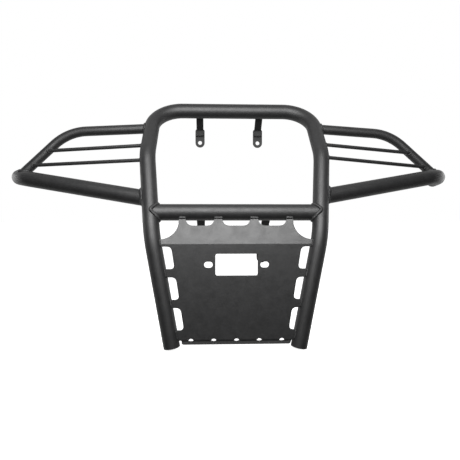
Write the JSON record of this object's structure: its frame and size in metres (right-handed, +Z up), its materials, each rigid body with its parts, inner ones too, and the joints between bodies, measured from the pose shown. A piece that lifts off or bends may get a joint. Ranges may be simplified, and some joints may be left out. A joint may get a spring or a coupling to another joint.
{
  "type": "front grille guard",
  "caption": "Welded round-tube grille guard with a bent winch plate, swept side wings with thin cross rods, and drilled mounting brackets at the back.",
  "frame": {"origin": "middle of the guard's bounding box, at the level of its two feet", "axes": "+X to the right as seen from in front, +Y back towards the vehicle, +Z up"},
  "size_m": [1.3322, 0.3236, 0.7026],
  "materials": {
    "tube_coat": "fine-textured satin black powder coat over welded steel tube",
    "plate_coat": "fine-textured satin black powder coat over bent sheet steel",
    "plug_plastic": "moulded matte black plastic"
  },
  "bodies": {
    "root": {"main_hoop": "tube_coat", "crossbar": "tube_coat", "winch_plate": "plate_coat", "wing_lower_left": "tube_coat", "wing_upper_left": "tube_coat", "wing_rod_high_left": "tube_coat", "wing_rod_low_left": "tube_coat", "wing_plug_left": "plug_plastic", "foot_plug_left": "plug_plastic", "wing_lower_right": "tube_coat", "wing_upper_right": "tube_coat", "wing_rod_high_right": "tube_coat", "wing_rod_low_right": "tube_coat", "wing_plug_right": "plug_plastic", "foot_plug_right": "plug_plastic", "upper_arm_left": "tube_coat", "upper_tab_left": "tube_coat", "upper_arm_right": "tube_coat", "upper_tab_right": "tube_coat", "lower_arm_left": "tube_coat", "lower_tab_left": "tube_coat", "lower_arm_right": "tube_coat", "lower_tab_right": "tube_coat"}
  },
  "joints": []
}
